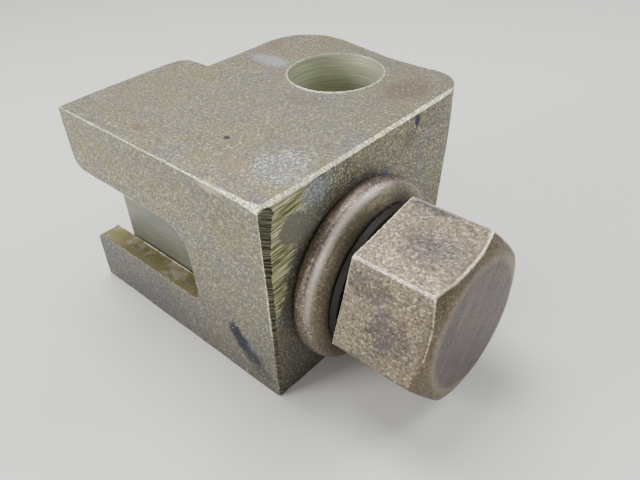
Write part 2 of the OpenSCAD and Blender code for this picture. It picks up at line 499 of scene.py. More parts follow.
# %% Wear a piece
def wear(piece, voxel, rounds, dents):
    """Remeshes a piece, rounds its edges and presses dents of (size, depth) into it."""
    apply_modifier(piece, "REMESH", mode="VOXEL", voxel_size=voxel)
    apply_modifier(piece, "SMOOTH", factor=0.5, iterations=rounds)
    for number, (size, push) in enumerate(dents):
        texture = bpy.data.textures.new(f"{piece.name}_dents_{number}", "CLOUDS")
        texture.noise_scale = size
        apply_modifier(
            piece, "DISPLACE", texture=texture, texture_coords="LOCAL", strength=push, mid_level=1)
    take(piece)
    bpy.ops.object.shade_smooth_by_angle(angle=math.radians(40))
    print(piece.name, "has", len(piece.data.polygons), "faces")


# %% [markdown]
# ## The bolt
# The head is a hexagon cut from bar, taller than a standard one. Its end was turned to a low
# crown first, so each flat ends in a curve where the crown cuts it. That is how it is made
# here too: the turned blank and the hexagon are crossed, and what both hold is the head.

# %% Hexagon head
head_h = 11.7 * MM
head_af = 19 * MM
head_corner_r = head_af / 2 / math.cos(math.radians(30))
head_turn = math.radians(10.1)    # a corner stands this far above the line to the back
head_base = Vector((bolt_high.x - head_h, bolt_axis.y, bolt_axis.z))
clear()
bpy.ops.mesh.primitive_cylinder_add(
    vertices=6, radius=head_corner_r, depth=head_h, rotation=(0, math.pi / 2, 0))
bolt = bpy.context.active_object
bolt.name = "hexagon_bolt"
settle(bolt)
bolt.rotation_euler = (head_turn, 0, 0)
bolt.location = head_base + Vector((head_h / 2, 0, 0))
settle(bolt)
crown = [(0, 0), (10.8, 0), (11.1, 0.2), (11.1, 10.3), (9.5, 11.2), (8.3, 11.6), (7.7, 11.7), (0, 11.7)]
blank = turned("head_blank", [(r * MM, x * MM) for r, x in crown], head_base)
combine(bolt, blank, "INTERSECT")
wear(bolt, 0.17 * MM, 7, [(5 * MM, 0.12 * MM), (1.2 * MM, 0.03 * MM)])

# %% Threaded shank
tip = Vector((bolt_low.x, bolt_axis.y, bolt_axis.z))
shank_length = head_base.x - bolt_low.x + 0.5 * MM
shank = threaded("shank", tip, 6 * MM, shank_length, 3 * MM)
combine(bolt, shank, "UNION")
take(bolt)
bpy.ops.object.shade_smooth_by_angle(angle=math.radians(35))
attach(bolt, "bolt")
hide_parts("clamp_bolt")
print("bolt is", round((bolt_high.x - bolt_low.x) / MM, 1), "mm long over all")

# %% [markdown]
# ## The washers
# The plain washer is a thick one, turned from bar. Its rim is round and its face domes up
# towards the head, so it shows a bright ridge. Between the dome and the head lies a thin spring
# washer, a split ring painted near black as painted shade, for the shadow in the gap under the head, so it
# shows only as a dark line.

# %% Plain washer
rim_r = 1.7 * MM
washer_t = washer_high.x - washer_low.x
washer_r = (washer_high.z - washer_low.z) / 2
washer_hole = 6.5 * MM
rim_centre = washer_r - rim_r
dome_slope = 50
arc = [math.radians(a) for a in range(-90, dome_slope + 1, 10)]
washer_profile = [(washer_hole, 0)]
washer_profile += [(rim_centre + rim_r * math.cos(a), rim_r + rim_r * math.sin(a)) for a in arc]
dome_foot, dome_h = washer_profile[-1]
dome_top = dome_foot - (washer_t - dome_h) * math.tan(math.radians(dome_slope))
washer_profile += [(dome_top, washer_t), (washer_hole, washer_t)]
washer = turned("plain_washer_ring", washer_profile, Vector((washer_low.x, bolt_axis.y, bolt_axis.z)))
wear(washer, 0.16 * MM, 4, [(4 * MM, 0.10 * MM), (1.0 * MM, 0.025 * MM)])
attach(washer, "washer")
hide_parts("plain_washer")

# %% Spring washer
spring_r = (spring_high.z - spring_low.z) / 2
spring_t = spring_high.x - spring_low.x
spring_hole = 6.3 * MM
spring_start = Vector((spring_low.x, bolt_axis.y, bolt_axis.z))
spring_profile = [(spring_hole, 0), (spring_r, 0), (spring_r, spring_t), (spring_hole, spring_t)]
spring = turned("split_spring_washer", spring_profile, spring_start)
split = 1.6 * MM
split_turn = math.radians(240)    # the gap faces down and to the back
saw = add_box("saw", (-spring_t, -split / 2, 0), (2 * spring_t, split / 2, 2 * spring_r))
saw.rotation_euler = (split_turn, 0, 0)
saw.location = spring_start
settle(saw)
combine(spring, saw, "DIFFERENCE")
wear(spring, 0.12 * MM, 3, [(2 * MM, 0.04 * MM)])
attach(spring, "spring_ring")
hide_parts("spring_washer")

# %% [markdown]
# ## The draw block
# The block is milled from solid, so its faces are flat and its edges have one small bevel all
# round. Its tapped hole shows at the open end of the pocket, and its back is hollowed to the
# curve of the rod that it grips.

# %% Milled block
block = add_box("milled_block", block_low, block_high)
take(block)
bpy.ops.object.mode_set(mode="EDIT")
bpy.ops.mesh.select_all(action="SELECT")
bpy.ops.mesh.bevel(offset=0.5 * MM, segments=4, affect="EDGES")
bpy.ops.object.mode_set(mode="OBJECT")
tap_start = Vector((block_low.x - 1 * MM, bolt_axis.y, bolt_axis.z))
tap = threaded("tap", tap_start, 6.9 * MM, block_high.x - block_low.x + 2 * MM, 0.1 * MM)
combine(block, tap, "DIFFERENCE")
drill = add_rod("drill", tap_start, (1, 0, 0), 6.08 * MM, block_high.x - block_low.x + 2 * MM)
combine(block, drill, "DIFFERENCE")
hollow = add_rod("hollow", (bore_axis.x, bore_axis.y, -past), (0, 0, 1), bore_r + 0.3 * MM, height + past)
combine(block, hollow, "DIFFERENCE")
take(block)
bpy.ops.object.shade_smooth_by_angle(angle=math.radians(30))
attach(block, "draw_block")
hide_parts("clamp_block")
print("block milled with", len(block.data.polygons), "faces")

# %% [markdown]
# ## What was worked, and what has worn
# Marks on the mesh tell the finishes where they are. "filed" is 1 on the facets along the
# two top edges, "chatter" is 1 on the facet down the upright corner, and "machined" is 1 inside
# the bore, the pocket and the bolt's hole. "lip" is 1 on the sill under the slot. They are set
# face by face, so they stop at the edge. The last, "wear_and_edge_highlight", is the bend of the surface at
# each
# point: high on an edge that hands and spanners polish, low in a hollow where dirt stays. The finishes turn
# the high bends pale, both for that polish and as a painted highlight along the edges.


# %% Mark the surfaces
def mark_faces(piece, name, wanted):
    """Stores 1 on the faces whose middle and normal pass the test, and 0 on the others."""
    mark = piece.data.attributes.new(name, "FLOAT", "CORNER")
    count = 0
    for face in piece.data.polygons:
        if wanted(face.center, face.normal):
            count += 1
            for loop in face.loop_indices:
                mark.data[loop].value = 1
    print(piece.name, name, count, "faces")


def mark_worn(piece, rounds):
    """Stores how sharply the surface bends outwards at each point, in turns per millimetre."""
    points = piece.data.vertices
    bends = [0.0] * len(points)
    ties = [0] * len(points)
    pairs = [tuple(edge.vertices) for edge in piece.data.edges]
    for a, b in pairs:
        step = points[b].co - points[a].co
        span = max(step.length_squared / MM, 1e-9)
        bends[a] -= 2 * step.dot(points[a].normal) / span
        bends[b] += 2 * step.dot(points[b].normal) / span
        ties[a] += 1
        ties[b] += 1
    bends = [bend / max(count, 1) for bend, count in zip(bends, ties)]
    for _ in range(rounds):
        sums = list(bends)
        for a, b in pairs:
            sums[a] += bends[b]
            sums[b] += bends[a]
        bends = [total / (count + 1) for total, count in zip(sums, ties)]
    mark = piece.data.attributes.new("wear_and_edge_highlight", "FLOAT", "POINT")
    mark.data.foreach_set("value", bends)
    ordered = sorted(bends)
    print(piece.name, "bends", [round(ordered[int(len(ordered) * q)], 2) for q in (0.05, 0.5, 0.95)])


def on_edge(faces, gate=0.88):
    """A test for the facet between two faces: its normal points between theirs."""
    outward = (Vector(faces[0]) + Vector(faces[1])).normalized()
    return lambda normal: normal.dot(outward) > gate


top_front = on_edge((front, up))
top_right = on_edge((right, up))
band = 1.3 * MM
mark_faces(casting, "filed", lambda p, n: (p.z > far_corner.z - band) and (
    (top_front(n) and p.y < corner.y + band) or (top_right(n) and p.x > far_corner.x - band)))


def chattered(p, n):
    """True on the facet down the upright corner: a round top, then narrower towards the foot."""
    across = (p.y - corner.y) / MM
    down = (far_corner.z - p.z) / MM - 0.55
    reach = 0.75 + 1.5 * math.exp(-max(down, 0) / 4.5)
    arch = down > 1 or (across - reach / 2) ** 2 / (reach / 2) ** 2 + (down - 1) ** 2 < 1
    return n.x > 0.5 and p.x > far_corner.x - band and across < reach and down > 0 and arch


mark_faces(casting, "chatter", chattered)
mark_faces(casting, "machined", lambda p, n: machined(p))
lip_level = corner.z + slot_low
mark_faces(
    casting, "lip",
    lambda p, n: n.z > 0.7 and abs(p.z - lip_level) < 0.5 * MM and p.y < corner.y + front_wall)
mark_worn(casting, 1)
for piece in (bolt, washer, spring):
    mark_worn(piece, 2)

# %% [markdown]
# ## Patterns for old bronze
# Every finish here is bronze that has stood in a damp shed, so they share a few patterns. They
# all work in millimetres from a place on the piece, which keeps each size honest: a grain of
# 0.15 is about a seventh of a millimetre. "patina" mixes three tarnish colours in clouds, "grit" is the
# sand's grain, with a few grains picked out for painted glints, "spot" is one stain with a ragged edge, and
# "scored" is a field of fine lines.


# %% Pattern functions
def millimetres(tree, place, turn=(0, 0, 0)):
    """The object's own coordinates, in millimetres from a place on it."""
    where = add(tree, "ShaderNodeTexCoord")
    shift = add(tree, "ShaderNodeVectorMath", {0: where.outputs["Object"], 1: place}, operation="SUBTRACT")
    return add(tree, "ShaderNodeMapping", {
        "Vector": shift, "Rotation": turn, "Scale": (1 / MM, 1 / MM, 1 / MM)})


def patina(tree, point, size, colours):
    """Clouds of three tarnish colours, each cloud about as wide as the size in millimetres."""
    broad = add(tree, "ShaderNodeTexNoise", {
        "Vector": point, "Scale": 1 / size, "Detail": 4.0, "Roughness": 0.6})
    broad_share = add(tree, "ShaderNodeMapRange", {"Value": broad, "From Min": 0.36, "From Max": 0.64})
    warped = add(tree, "ShaderNodeVectorMath", {0: point, 1: (31, 17, 5)}, operation="ADD")
    close = add(tree, "ShaderNodeTexNoise", {
        "Vector": warped, "Scale": 2.6 / size, "Detail": 5.0, "Roughness": 0.7})
    close_share = add(tree, "ShaderNodeMapRange", {"Value": close, "From Min": 0.46, "From Max": 0.68})
    first, second, third = (srgb(code) for code in colours)
    clouds = add(tree, "ShaderNodeMixRGB", {"Fac": broad_share, "Color1": first, "Color2": second})
    return add(tree, "ShaderNodeMixRGB", {"Fac": close_share, "Color1": clouds, "Color2": third})


def grit(tree, point, size):
    """Grains of one size in millimetres: their heights, 0 in a pit and 1 on a peak, a tint, and a mask of rare
    grains for painted glints.
    """
    jitter = add(tree, "ShaderNodeTexNoise", {"Vector": point, "Scale": 1.4 / size, "Detail": 1.0})
    moved = add(tree, "ShaderNodeVectorMath", {
        0: jitter.outputs["Color"], 1: (size, size, size)}, operation="MULTIPLY")
    place = add(tree, "ShaderNodeVectorMath", {0: point, 1: moved}, operation="ADD")
    cells = add(tree, "ShaderNodeTexVoronoi", {"Vector": place, "Scale": 1 / size})
    chance = add(tree, "ShaderNodeSeparateColor", {0: cells.outputs["Color"]})
    heap = add(tree, "ShaderNodeTexNoise", {
        "Vector": point, "Scale": 0.45 / size, "Detail": 2.0, "Roughness": 0.6})
    heaped = add(tree, "ShaderNodeMapRange", {
        "Value": heap, "From Min": 0.3, "From Max": 0.7, "To Max": 0.45})
    height_value = add(tree, "ShaderNodeMath", {
        0: chance.outputs["Red"], 1: 0.55, 2: heaped}, operation="MULTIPLY_ADD")
    painted_glints = add(tree, "ShaderNodeMapRange", {
        "Value": chance.outputs["Blue"], "From Min": 0.985, "From Max": 0.99})
    return height_value.outputs[0], chance.outputs["Green"], painted_glints.outputs[0]


def spot(tree, point, place, size, ragged):
    """One stain: 1 at its place, 0 outside its size, with an edge as ragged as asked."""
    offset = add(tree, "ShaderNodeVectorMath", {0: point, 1: place}, operation="SUBTRACT")
    stretch = add(tree, "ShaderNodeVectorMath", {0: offset, 1: size}, operation="DIVIDE")
    distance = add(tree, "ShaderNodeVectorMath", {0: stretch}, operation="LENGTH")
    rough_edge = add(tree, "ShaderNodeTexNoise", {
        "Vector": point, "Scale": 1.3, "Detail": 4.0, "Roughness": 0.7})
    wobble = add(tree, "ShaderNodeMath", {0: rough_edge, 1: ragged}, operation="MULTIPLY")
    reach = add(tree, "ShaderNodeMath", {0: distance.outputs["Value"], 1: wobble}, operation="ADD")
    return add(tree, "ShaderNodeMapRange", {
        "Value": reach, "From Min": 0.55 + ragged / 2, "From Max": 1 + ragged / 2,
        "To Min": 1.0, "To Max": 0.0})


def scored(tree, point, spacing, soft=0.16, middle=0.5):
    """Fine lines from 0 to 1, as far apart in each direction as the spacing in millimetres."""
    squeeze = add(tree, "ShaderNodeVectorMath", {0: point, 1: spacing}, operation="DIVIDE")
    lines = add(tree, "ShaderNodeTexNoise", {
        "Vector": squeeze, "Scale": 1.0, "Detail": 2.0, "Roughness": 0.6})
    return add(tree, "ShaderNodeMapRange", {
        "Value": lines, "From Min": middle - soft, "From Max": middle + soft})


def metal(name, tree_builder):
    """A material whose builder links its colour, roughness and bump to the metal shader."""
    made = bpy.data.materials.new(name)
    made.use_nodes = True
    tree = made.node_tree
    tree_builder(tree, tree.nodes["Principled BSDF"])
    print(name, "has", len(tree.nodes), "nodes")
    return made


# %% [markdown]
# ## Weathered gunmetal
# Gunmetal is a bronze of copper, tin and zinc. Sand casting leaves it with a grain like coarse
# paper, and years of damp turn it olive grey with blue-grey clouds. The grain's peaks are
# rubbed bright and its pits hold dirt, which is the salt and pepper that the eye sees. Where a
# file cut through the skin the metal is pale brass, and there are a few spots of red and of
# blue-black tarnish. The grain is about 0.15 mm.

# %% Stains on the casting
# Each is a place and a size in millimetres from the front left foot, a ragged edge, its share
# of cover and its colour.
stains = [
    ((32.4, 31.0, 28), (3.3, 4.6, 1.5), 0.8, 0.60, "6f5c54"),     # copper patch by the bore
    ((13.5, 3.2, 28), (1.5, 0.9, 1.0), 0.8, 0.50, "6e4f4b"),      # red spot on the top
    ((23.7, 8.0, 28), (0.6, 0.5, 0.5), 0.3, 0.90, "2a2b33"),      # dark dot on the top
    ((23.6, 20.9, 28), (3.0, 1.6, 1.0), 0.8, 0.25, "7b5f58"),     # faint red before the bore
    ((7.5, 31.5, 28), (1.6, 3.0, 1.0), 0.8, 0.35, "7c6058"),      # red edge of the boss
    ((11.3, 27.4, 28), (4.0, 1.8, 1.0), 0.8, 0.45, "a9b4bf"),     # pale blue on the boss
    ((33.2, 7.2, 28), (3.6, 4.8, 1.0), 0.9, 0.10, "a4afba"),      # silver blue behind the corner
    ((37.2, 8.0, 25.9), (1.0, 3.6, 1.8), 0.9, 0.50, "a7b3bd"),    # the same, round the edge
    # Painted light: the pale grey cover below lightens the right face where it lies in shade.
    ((37.2, 5.6, 23.6), (1.0, 4.4, 3.8), 0.8, 0.55, "96978c"),    # pale grey between the two
    # Painted shade with a painted blue reflection: the blue-grey cover below darkens the lower front face.
    ((7.0, 0, 4.0), (17.0, 1.0, 5.0), 0.7, 0.35, "454b58"),       # blue-grey damp along the foot
    ((37.2, 26.7, 26.7), (1.0, 0.7, 1.1), 0.4, 0.92, "262b4a"),   # blue-black spot
    ((37.2, 25.3, 24.8), (1.0, 1.5, 1.6), 0.8, 0.45, "5e4a55"),   # purple smudge below it
    ((37.2, 20.4, 22.3), (1.0, 1.3, 0.6), 0.6, 0.55, "5a67a0"),   # blue tarnish at the washer
    ((30.2, 0, 7.0), (1.4, 1.0, 1.8), 0.5, 1.0, "14182c"),        # blue-black streak, upper end
    ((31.3, 0, 5.6), (1.6, 1.0, 1.9), 0.5, 1.0, "14172a"),        # its middle
    ((32.9, 0, 4.0), (2.0, 1.0, 1.6), 0.5, 0.90, "1c2030"),       # its lower part
    ((34.6, 0, 2.4), (2.2, 1.0, 1.3), 0.7, 0.55, "363a4a"),       # and its faint end
    ((19.2, 0, 20.9), (0.9, 1.0, 0.4), 0.5, 0.60, "a8837a"),      # pink fleck by the slot
    ((29.1, 4.4, 28), (3.0, 1.6, 1.0), 0.9, 0.30, "8e7c62"),      # brown by the filed edge
    ((29.6, 0, 27.5), (2.4, 1.0, 0.7), 0.5, 0.55, "c0b98e"),      # brass where the file slipped
    ((36.3, 1.4, 28), (2.4, 1.0, 1.0), 0.8, 0.50, "6d6068"),      # purple rim at the corner
]


# %% Gunmetal shader
def gunmetal(tree, shader):
    point = millimetres(tree, corner)
    axes = add(tree, "ShaderNodeSeparateXYZ", {0: point})
    grain, tint, painted_glints = grit(tree, point, 0.15)
    colour = patina(tree, point, 5.0, ("7f7652", "72706a", "8a7b56"))

    # Each grain leans to olive or to blue. The pits hold dirt and the peaks are rubbed bright.
    tint_share = add(tree, "ShaderNodeMath", {0: tint, 1: 0.35}, operation="MULTIPLY")
    colour = add(tree, "ShaderNodeMixRGB", {"Fac": tint_share, "Color1": colour, "Color2": srgb("87898f")})
    pits = add(tree, "ShaderNodeMapRange", {
        "Value": grain, "From Min": 0.5, "From Max": 0.1, "To Max": 0.5})
    colour = add(tree, "ShaderNodeMixRGB", {"Fac": pits, "Color1": colour, "Color2": srgb("35343a")})
    peaks = add(tree, "ShaderNodeMapRange", {
        "Value": grain, "From Min": 0.62, "From Max": 0.9, "To Max": 0.6})
    colour = add(tree, "ShaderNodeMixRGB", {"Fac": peaks, "Color1": colour, "Color2": srgb("cfcdb6")})

    for place, size, ragged, cover, code in stains:
        cover_share = add(tree, "ShaderNodeMath", {
            0: spot(tree, point, place, size, ragged), 1: cover}, operation="MULTIPLY")
        colour = add(tree, "ShaderNodeMixRGB", {"Fac": cover_share, "Color1": colour, "Color2": srgb(code)})

    # Painted glints: grains in the pale patches behind the corner are painted near white, as sparkle.
    silver = add(tree, "ShaderNodeMath", {
        0: spot(tree, point, (33.2, 7.2, 28), (4.2, 5.6, 1.0), 0.9),
        1: spot(tree, point, (37.2, 8.5, 25.8), (1.0, 5.6, 2.6), 0.9)}, operation="MAXIMUM")
    painted_sparkle_grains = add(tree, "ShaderNodeMapRange", {"Value": grain, "From Min": 0.62, "From Max": 0.8})
    painted_silver_glints = add(tree, "ShaderNodeMath", {0: silver, 1: painted_sparkle_grains}, operation="MULTIPLY")
    painted_silver_glints = add(tree, "ShaderNodeMath", {0: painted_silver_glints, 1: 0.75}, operation="MULTIPLY")
    colour = add(tree, "ShaderNodeMixRGB", {
        "Fac": painted_silver_glints, "Color1": colour, "Color2": srgb("dbe6ee")})
    # Painted glints: a few random grains are painted near white, as sparkle.
    colour = add(tree, "ShaderNodeMixRGB", {"Fac": painted_glints, "Color1": colour, "Color2": srgb("d8d4bc")})

    # Painted shade darkens the casting towards its foot, where less of the light from above reaches.
    foot = add(tree, "ShaderNodeMapRange", {
        "Value": axes.outputs["Z"], "From Min": 18.0, "From Max": 0.0, "To Max": 0.55})
    colour = add(tree, "ShaderNodeMixRGB", {"Fac": foot, "Color1": colour, "Color2": srgb("3b3d45")})

    # The lip's upper face is golden brown, with pale blotches.
    blotch = add(tree, "ShaderNodeTexNoise", {
        "Vector": point, "Scale": 0.55, "Detail": 3.0, "Roughness": 0.6})
    blotches = add(tree, "ShaderNodeMapRange", {"Value": blotch, "From Min": 0.5, "From Max": 0.62})
    gold = add(tree, "ShaderNodeMixRGB", {
        "Fac": blotches, "Color1": srgb("8b8459"), "Color2": srgb("b9ae9a")})
    lip_face = add(tree, "ShaderNodeAttribute", attribute_name="lip").outputs["Fac"]
    gold_share = add(tree, "ShaderNodeMapRange", {"Value": grain, "To Min": 0.95, "To Max": 0.6})
    lip_share = add(tree, "ShaderNodeMath", {0: lip_face, 1: gold_share}, operation="MULTIPLY")
    colour = add(tree, "ShaderNodeMixRGB", {"Fac": lip_share, "Color1": colour, "Color2": gold})

    # The patch on the right face that the file scored down to the brass, wider towards the top.
    lean = add(tree, "ShaderNodeMath", {0: axes.outputs["Z"], 1: 0.42, 2: -4.2}, operation="MULTIPLY_ADD")
    inside = add(tree, "ShaderNodeMath", {0: lean, 1: axes.outputs["Y"]}, operation="SUBTRACT")
    island = spot(tree, point, (37.2, 4.3, 23.3), (1.0, 2.3, 2.1), 0.8)
    inside = add(tree, "ShaderNodeMath", {0: island, 1: -6.0, 2: inside}, operation="MULTIPLY_ADD")
    slanted = millimetres(tree, corner, turn=(math.radians(-3), 0, 0))
    scratch = scored(tree, slanted, (2.0, 3.2, 0.12), soft=0.09, middle=0.53)
    long_ends = add(tree, "ShaderNodeMath", {0: scratch, 1: 1.0, 2: -0.7}, operation="MULTIPLY_ADD")
    rough_edge = add(tree, "ShaderNodeTexNoise", {
        "Vector": point, "Scale": 0.9, "Detail": 5.0, "Roughness": 0.75})
    ragged = add(tree, "ShaderNodeMath", {0: rough_edge, 1: 4.0, 2: long_ends}, operation="MULTIPLY_ADD")
    reach = add(tree, "ShaderNodeMath", {0: inside, 1: ragged}, operation="ADD")
    scraped = add(tree, "ShaderNodeMapRange", {"Value": reach, "From Min": 1.6, "From Max": 2.4})
    side = add(tree, "ShaderNodeMapRange", {
        "Value": axes.outputs["X"], "From Min": length / MM - 0.45, "From Max": length / MM - 0.3})
    scraped = add(tree, "ShaderNodeMath", {0: scraped, 1: side}, operation="MULTIPLY")
    brass = add(tree, "ShaderNodeMixRGB", {
        "Fac": scratch, "Color1": srgb("7a7b4e"), "Color2": srgb("ffffd0")})
    colour = add(tree, "ShaderNodeMixRGB", {"Fac": scraped, "Color1": colour, "Color2": brass})

    # Facets: pale brass with serrations along the top edges, dark and lined down the corner.
    teeth = scored(tree, point, (0.26, 0.17, 3.0), soft=0.12)
    fresh = add(tree, "ShaderNodeMixRGB", {
        "Fac": teeth, "Color1": srgb("8a8360"), "Color2": srgb("fffbe0")})
    filed = add(tree, "ShaderNodeAttribute", attribute_name="filed").outputs["Fac"]
    colour = add(tree, "ShaderNodeMixRGB", {"Fac": filed, "Color1": colour, "Color2": fresh})
    level = millimetres(tree, corner, turn=(math.radians(30), 0, 0))
    steps = scored(tree, level, (4.0, 4.0, 0.14), soft=0.14, middle=0.55)
    dark_steps = add(tree, "ShaderNodeMixRGB", {
        "Fac": steps, "Color1": srgb("2c2c25"), "Color2": srgb("94927a")})
    chatter = add(tree, "ShaderNodeAttribute", attribute_name="chatter").outputs["Fac"]
    colour = add(tree, "ShaderNodeMixRGB", {"Fac": chatter, "Color1": colour, "Color2": dark_steps})

    # Handling has rubbed the corners of the casting pale, and the same pale colour along the edges is also a
    # painted highlight.
    bend = add(tree, "ShaderNodeAttribute", attribute_name="wear_and_edge_highlight").outputs["Fac"]
    patchy = add(tree, "ShaderNodeMath", {0: grain, 1: 0.8, 2: bend}, operation="MULTIPLY_ADD")
    rubbed_and_highlit = add(tree, "ShaderNodeMapRange", {
        "Value": patchy, "From Min": 1.8, "From Max": 3.0, "To Max": 0.5})
    colour = add(tree, "ShaderNodeMixRGB", {"Fac": rubbed_and_highlit, "Color1": colour, "Color2": srgb("dcd9bf")})

    # Machined walls, with rings left by the drill.
    rings = scored(tree, point, (6.0, 6.0, 0.3))
    wall = add(tree, "ShaderNodeMixRGB", {"Fac": rings, "Color1": srgb("abae92"), "Color2": srgb("bdc1a6")})
    machined_share = add(tree, "ShaderNodeAttribute", attribute_name="machined").outputs["Fac"]
    colour = add(tree, "ShaderNodeMixRGB", {"Fac": machined_share, "Color1": colour, "Color2": wall})
    tree.links.new(colour.outputs[0], shader.inputs["Base Color"])

    # Bright metal is smooth, tarnish is dull, and the lines stand in the bump too.
    bright = add(tree, "ShaderNodeMath", {0: filed, 1: scraped}, operation="MAXIMUM")
    dull = add(tree, "ShaderNodeMapRange", {"Value": grain, "To Min": 0.7, "To Max": 0.4})
    gloss = add(tree, "ShaderNodeMapRange", {"Value": bright, "To Min": 0.0, "To Max": -0.12})
    roughness = add(tree, "ShaderNodeMath", {0: dull, 1: gloss}, operation="ADD")
    tree.links.new(roughness.outputs[0], shader.inputs["Roughness"])
    metallic = add(tree, "ShaderNodeMapRange", {"Value": machined_share, "To Min": 0.7, "To Max": 0.35})
    tree.links.new(metallic.outputs[0], shader.inputs["Metallic"])
    height_map = add(tree, "ShaderNodeMixRGB", {"Fac": scraped, "Color1": grain, "Color2": scratch})
    height_map = add(tree, "ShaderNodeMixRGB", {"Fac": filed, "Color1": height_map, "Color2": teeth})
    height_map = add(tree, "ShaderNodeMixRGB", {"Fac": chatter, "Color1": height_map, "Color2": steps})
    height_map = add(tree, "ShaderNodeMixRGB", {
        "Fac": machined_share, "Color1": height_map, "Color2": rings})
    bump = add(tree, "ShaderNodeBump", {"Height": height_map, "Strength": 0.7, "Distance": 0.05 * MM})
    tree.links.new(bump.outputs[0], shader.inputs["Normal"])


casting.data.materials.clear()
casting.data.materials.append(metal("weathered_gunmetal", gunmetal))

# %% [markdown]
# ## Tarnished bronze
# The bolt and washers are a redder bronze, turned from bar, so they have no sand grain. Damp
# has given them brown, olive and pink tarnish in clouds and dark blue-grey blotches. Spanners
# have rubbed every edge bright, and the upper edges are paler still as a painted highlight. The flats still
# show the fine lines of the mill that cut them, and the end of the head the streaks of a cloth or a belt. The
# end face is painted dark as painted shade with a blue reflection, its bevel golden as a painted reflection of
# the light above, with a painted highlight ring between them. The washer's ridge has a painted highlight and
# its dome a painted shadow under the head.


# %% Stains on the head
# Each is a place in millimetres from where the bolt's axis leaves the casting, a size and a
# share of cover. They lie on the flat that faces up and on the one that faces the front.
head_stains = [
    ((9.4, 4.0, 10.2), (4.2, 1.8, 2.0), 0.70),
    ((11.6, -2.6, 9.2), (3.6, 2.4, 2.0), 0.45),
    ((9.2, -0.4, 9.6), (2.8, 2.6, 2.0), 0.30),
    ((8.6, -7.9, 6.0), (3.0, 1.5, 2.6), 0.35),
    ((11.8, -9.2, 2.2), (3.4, 1.5, 3.2), 0.42),
]


# %% Tarnished bronze shader
def tarnished(tree, shader, colours, lines, extra, dark, wear_and_highlight_from):
    """Clouds, then the lines of the tool, grains and blotches, then what extra adds, then wear with a painted
    highlight on the upper edges.
    """
    point = millimetres(tree, bolt_axis)
    colour = patina(tree, point, 4.0, colours)
    line_share = add(tree, "ShaderNodeMapRange", {"Value": lines, "To Min": 0.0, "To Max": 0.25})
    colour = add(tree, "ShaderNodeMixRGB", {"Fac": line_share, "Color1": colour, "Color2": srgb("c8b8a2")})
    grain, tint, painted_glints = grit(tree, point, 0.17)
    tint_share = add(tree, "ShaderNodeMath", {0: tint, 1: 0.3}, operation="MULTIPLY")
    colour = add(tree, "ShaderNodeMixRGB", {"Fac": tint_share, "Color1": colour, "Color2": srgb("7c7764")})
    pits = add(tree, "ShaderNodeMapRange", {
        "Value": grain, "From Min": 0.5, "From Max": 0.1, "To Max": 0.7})
    colour = add(tree, "ShaderNodeMixRGB", {"Fac": pits, "Color1": colour, "Color2": srgb("2f2a2c")})
    peaks = add(tree, "ShaderNodeMapRange", {
        "Value": grain, "From Min": 0.64, "From Max": 0.9, "To Max": 0.6})
    colour = add(tree, "ShaderNodeMixRGB", {"Fac": peaks, "Color1": colour, "Color2": srgb("d2c2ae")})
    shifted = add(tree, "ShaderNodeVectorMath", {0: point, 1: (3, 11, 29)}, operation="ADD")
    blotch = add(tree, "ShaderNodeTexNoise", {
        "Vector": shifted, "Scale": 0.2, "Detail": 7.0, "Roughness": 0.78})
    blotches = add(tree, "ShaderNodeMapRange", {
        "Value": blotch, "From Min": 0.49, "From Max": 0.66, "To Min": 0.0, "To Max": dark})
    colour = add(tree, "ShaderNodeMixRGB", {"Fac": blotches, "Color1": colour, "Color2": srgb("41424f")})
    colour = extra(tree, point, colour)
    bend = add(tree, "ShaderNodeAttribute", attribute_name="wear_and_edge_highlight").outputs["Fac"]
    # Wear on the bends, plus a painted highlight: the height term makes the upper edges paler, as the light
    # from above falls on them.
    height_for_painted_highlight = add(tree, "ShaderNodeSeparateXYZ", {0: point})
    patchy = add(tree, "ShaderNodeMath", {0: grain, 1: 0.6, 2: bend}, operation="MULTIPLY_ADD")
    patchy = add(tree, "ShaderNodeMath", {
        0: height_for_painted_highlight.outputs["Z"], 1: 0.12, 2: patchy}, operation="MULTIPLY_ADD")
    wear_and_edge_highlight = add(tree, "ShaderNodeMapRange", {
        "Value": patchy, "From Min": wear_and_highlight_from + 0.7, "From Max": wear_and_highlight_from + 1.8, "To Max": 0.9})
    colour = add(tree, "ShaderNodeMixRGB", {"Fac": wear_and_edge_highlight, "Color1": colour, "Color2": srgb("efe0cc")})
    tree.links.new(colour.outputs[0], shader.inputs["Base Color"])
    dull = add(tree, "ShaderNodeMapRange", {"Value": grain, "To Min": 0.58, "To Max": 0.36})
    gloss = add(tree, "ShaderNodeMapRange", {"Value": wear_and_edge_highlight, "To Min": 0.0, "To Max": -0.12})
    roughness = add(tree, "ShaderNodeMath", {0: dull, 1: gloss}, operation="ADD")
    tree.links.new(roughness.outputs[0], shader.inputs["Roughness"])
    shader.inputs["Metallic"].default_value = 0.75
    surface = add(tree, "ShaderNodeMath", {0: lines, 1: 0.6, 2: grain}, operation="MULTIPLY_ADD")
    bump = add(tree, "ShaderNodeBump", {"Height": surface, "Strength": 0.6, "Distance": 0.025 * MM})
    tree.links.new(bump.outputs[0], shader.inputs["Normal"])


